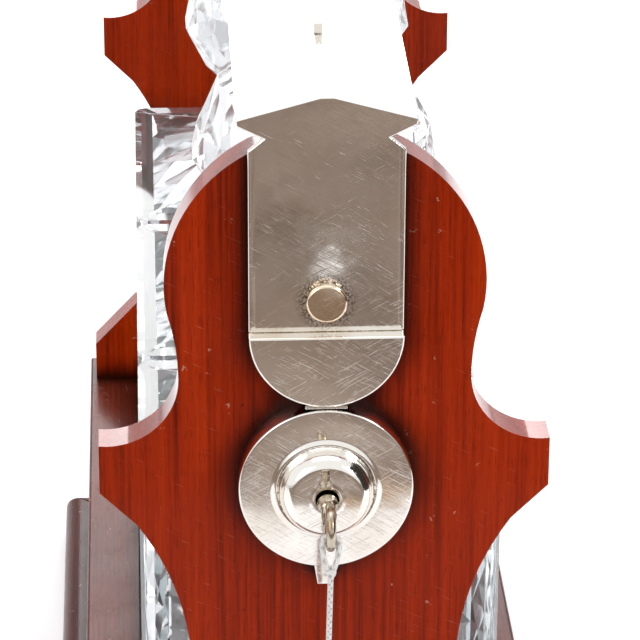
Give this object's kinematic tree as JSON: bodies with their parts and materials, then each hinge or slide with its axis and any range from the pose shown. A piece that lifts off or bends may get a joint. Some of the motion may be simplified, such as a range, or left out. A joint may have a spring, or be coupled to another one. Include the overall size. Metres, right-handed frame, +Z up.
{
  "type": "tantalus",
  "caption": "Antique lockable spirit stand: square cut-glass decanters between shaped wooden end panels, held by a hinged plated bar with a lock, a key and a cord.",
  "frame": {"origin": "middle of the base's underside, on the surface that the stand rests on", "axes": "+X along the stand towards the lock end, -Y the front long side, +Z up"},
  "size_m": [0.3613, 0.144, 0.3239],
  "materials": {
    "mahogany": "french polished red mahogany",
    "inner_wood": "plain sawn secondary wood",
    "green_baize": "matte woollen baize",
    "silver_plate": "worn silver plate with fine scratches",
    "steel": "plain steel",
    "brass": "turned brass",
    "key_metal": "worn nickel plate over brass",
    "cut_glass": "clear cut lead glass",
    "white_cord": "white braided cord"
  },
  "bodies": {
    "stand": {"plinth_front": "mahogany", "plinth_back": "mahogany", "plinth_lock_end": "mahogany", "plinth_hinge_end": "mahogany", "apron_front": "mahogany", "apron_back": "mahogany", "apron_lock_end": "mahogany", "apron_hinge_end": "mahogany", "deck": "mahogany", "well_floor": "inner_wood", "well_baize_1": "green_baize", "well_baize_2": "green_baize", "well_baize_3": "green_baize", "bottom_board": "inner_wood", "base_baize": "green_baize", "glue_blocks": "inner_wood", "lock_end_panel": "mahogany", "hinge_end_panel": "mahogany", "panel_screws": "steel", "hinge_leaf": "silver_plate", "hinge_pin": "steel", "hinge_screws": "silver_plate", "lock_cover": "silver_plate", "lock_back_plate": "steel", "lock_screws": "steel", "lock_lug": "silver_plate"},
    "bar": {"locking_bar": "silver_plate", "lock_strap": "silver_plate", "lock_tongue": "silver_plate", "strap_stud": "silver_plate", "lock_links": "silver_plate", "carrying_handle": "silver_plate", "handle_rivets": "silver_plate", "hinge_strap": "silver_plate"},
    "bolt": {"lock_bolt": "steel"},
    "cam": {"lock_cam": "brass"},
    "key_body": {"key": "key_metal", "cord_loop": "white_cord", "cord_knot": "white_cord", "key_cord": "white_cord", "cord_end_knot": "white_cord"},
    "decanter_body_1": {"decanter_1": "cut_glass"},
    "stopper_body_1": {"stopper_1": "cut_glass"},
    "decanter_body_2": {"decanter_2": "cut_glass"},
    "stopper_body_2": {"stopper_2": "cut_glass"},
    "decanter_body_3": {"decanter_3": "cut_glass"},
    "stopper_body_3": {"stopper_3": "cut_glass"}
  },
  "joints": [
    {"name": "bar_swing", "type": "hinge", "parent": "stand", "child": "bar", "pos_m": [-0.1605, 0, 0.2661], "axis": [0, -1, 0], "range_deg": [0, 105]},
    {"name": "key_turn", "type": "hinge", "parent": "stand", "child": "cam", "pos_m": [0.155, 0, 0.19], "axis": [-1, 0, 0], "range_deg": [0, 60]},
    {"name": "key_pull", "type": "slide", "parent": "cam", "child": "key_body", "axis": [1, 0, 0], "range_m": [0, 0.022]},
    {"name": "bolt_slide", "type": "slide", "parent": "stand", "child": "bolt", "axis": [0, 1, 0], "range_m": [0, 0.0037]},
    {"name": "decanter_1_lift", "type": "slide", "parent": "stand", "child": "decanter_body_1", "axis": [0, 0, 1], "range_m": [0, 0.05]},
    {"name": "stopper_1_lift", "type": "slide", "parent": "decanter_body_1", "child": "stopper_body_1", "axis": [0, 0, 1], "range_m": [0, 0.032]},
    {"name": "decanter_2_lift", "type": "slide", "parent": "stand", "child": "decanter_body_2", "axis": [0, 0, 1], "range_m": [0, 0.05]},
    {"name": "stopper_2_lift", "type": "slide", "parent": "decanter_body_2", "child": "stopper_body_2", "axis": [0, 0, 1], "range_m": [0, 0.032]},
    {"name": "decanter_3_lift", "type": "slide", "parent": "stand", "child": "decanter_body_3", "axis": [0, 0, 1], "range_m": [0, 0.05]},
    {"name": "stopper_3_lift", "type": "slide", "parent": "decanter_body_3", "child": "stopper_body_3", "axis": [0, 0, 1], "range_m": [0, 0.032]}
  ],
  "couplings": [
    {"joint": "bolt_slide", "follows": "key_turn", "m_per_rad": 0.003437},
    {"joint": "decanter_1_lift", "follows": "bar_swing", "m_per_rad": 0.027},
    {"joint": "stopper_1_lift", "follows": "bar_swing", "m_per_rad": 0.017},
    {"joint": "decanter_2_lift", "follows": "bar_swing", "m_per_rad": 0.027},
    {"joint": "stopper_2_lift", "follows": "bar_swing", "m_per_rad": 0.017},
    {"joint": "decanter_3_lift", "follows": "bar_swing", "m_per_rad": 0.027},
    {"joint": "stopper_3_lift", "follows": "bar_swing", "m_per_rad": 0.017}
  ]
}
